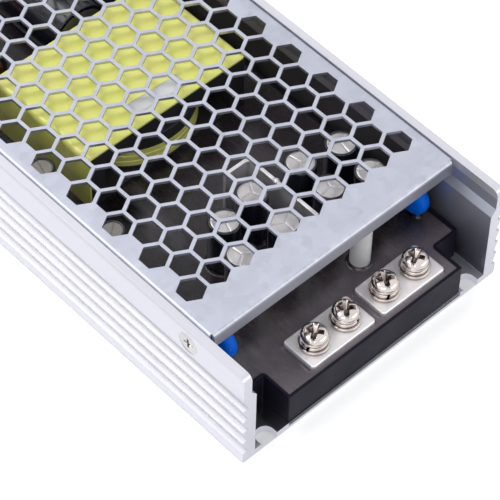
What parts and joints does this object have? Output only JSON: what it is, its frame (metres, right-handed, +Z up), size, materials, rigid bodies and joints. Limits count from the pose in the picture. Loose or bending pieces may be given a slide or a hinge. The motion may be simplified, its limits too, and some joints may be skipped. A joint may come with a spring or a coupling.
{
  "type": "ac-dc converter",
  "caption": "Slim fanless AC-DC power converter: ribbed aluminium channel, hexagon-perforated cover, potted tray, screw terminals at both ends and open fixing slots at its corners.",
  "frame": {"origin": "centre of the underside of the channel", "axes": "+X across the width, +Y along the length towards the input end, +Z up"},
  "size_m": [0.081, 0.232, 0.031],
  "materials": {
    "channel_aluminium": "clear anodised extrusion, satin",
    "cover_steel": "galvanised sheet, satin with light scuffs",
    "plated_steel": "bright nickel plate",
    "tinned_copper": "satin tin plate",
    "tray_plastic": "black moulded plastic",
    "potting": "poured silicone with a soft gloss",
    "board": "green solder mask",
    "spacer_plastic": "white moulded plastic",
    "lamp_red": "red tinted epoxy",
    "can_aluminium": "drawn can, bare top",
    "sleeve_black": "shrunk film",
    "disc_blue": "dipped epoxy",
    "ferrite": "ground ferrite",
    "tape_yellow": "polyester film tape",
    "label_paper": "blank white label",
    "copper_wire": "enamelled copper wire",
    "heatsink_aluminium": "bare sheet",
    "package_black": "moulded epoxy",
    "film_box": "grey box, epoxy filled",
    "fuse_ceramic": "white ceramic tube",
    "thermistor_ceramic": "coated disc",
    "block_plastic": "black moulded plastic"
  },
  "bodies": {
    "housing": {"channel": "channel_aluminium", "cover": "cover_steel", "cover_screws": "plated_steel", "potting_tray": "tray_plastic", "circuit_board": "board", "potting_compound": "potting", "output_terminal_left": "tinned_copper", "output_terminal_right": "tinned_copper", "indicator_spacer": "spacer_plastic", "indicator_lamp": "lamp_red", "capacitor_cans": "can_aluminium", "capacitor_sleeves": "sleeve_black", "disc_capacitor_left": "disc_blue", "disc_capacitor_right": "disc_blue", "output_busbar": "tinned_copper", "transformer_core": "ferrite", "transformer_winding": "tape_yellow", "transformer_bobbin": "block_plastic", "transformer_tape": "tape_yellow", "transformer_label": "label_paper", "boost_choke_core": "ferrite", "boost_choke_winding": "copper_wire", "bulk_capacitor_cans": "can_aluminium", "bulk_capacitor_sleeves": "sleeve_black", "filter_choke_core": "ferrite", "filter_choke_windings": "copper_wire", "primary_heatsink": "heatsink_aluminium", "switching_transistors": "package_black", "bridge_rectifier": "package_black", "film_capacitor": "film_box", "input_fuse": "fuse_ceramic", "thermistor": "thermistor_ceramic", "input_terminal_block": "block_plastic", "input_contacts": "tinned_copper"},
    "output_fastener_1": {"output_screw_1": "plated_steel", "spring_washer_1": "plated_steel", "flat_washer_1": "plated_steel"},
    "output_fastener_2": {"output_screw_2": "plated_steel", "spring_washer_2": "plated_steel", "flat_washer_2": "plated_steel"},
    "output_fastener_3": {"output_screw_3": "plated_steel", "spring_washer_3": "plated_steel", "flat_washer_3": "plated_steel"},
    "output_fastener_4": {"output_screw_4": "plated_steel", "spring_washer_4": "plated_steel", "flat_washer_4": "plated_steel"},
    "input_fastener_1": {"input_screw_1": "plated_steel", "clamp_plate_1": "plated_steel"},
    "input_fastener_2": {"input_screw_2": "plated_steel", "clamp_plate_2": "plated_steel"},
    "input_fastener_3": {"input_screw_3": "plated_steel", "clamp_plate_3": "plated_steel"}
  },
  "joints": [
    {"name": "output_screw_1_travel", "type": "slide", "parent": "housing", "child": "output_fastener_1", "axis": [0, 0, 1], "range_m": [0, 0.003]},
    {"name": "output_screw_2_travel", "type": "slide", "parent": "housing", "child": "output_fastener_2", "axis": [0, 0, 1], "range_m": [0, 0.003]},
    {"name": "output_screw_3_travel", "type": "slide", "parent": "housing", "child": "output_fastener_3", "axis": [0, 0, 1], "range_m": [0, 0.003]},
    {"name": "output_screw_4_travel", "type": "slide", "parent": "housing", "child": "output_fastener_4", "axis": [0, 0, 1], "range_m": [0, 0.003]},
    {"name": "input_screw_1_travel", "type": "slide", "parent": "housing", "child": "input_fastener_1", "axis": [0, 0, 1], "range_m": [0, 0.003]},
    {"name": "input_screw_2_travel", "type": "slide", "parent": "housing", "child": "input_fastener_2", "axis": [0, 0, 1], "range_m": [0, 0.003]},
    {"name": "input_screw_3_travel", "type": "slide", "parent": "housing", "child": "input_fastener_3", "axis": [0, 0, 1], "range_m": [0, 0.003]}
  ]
}
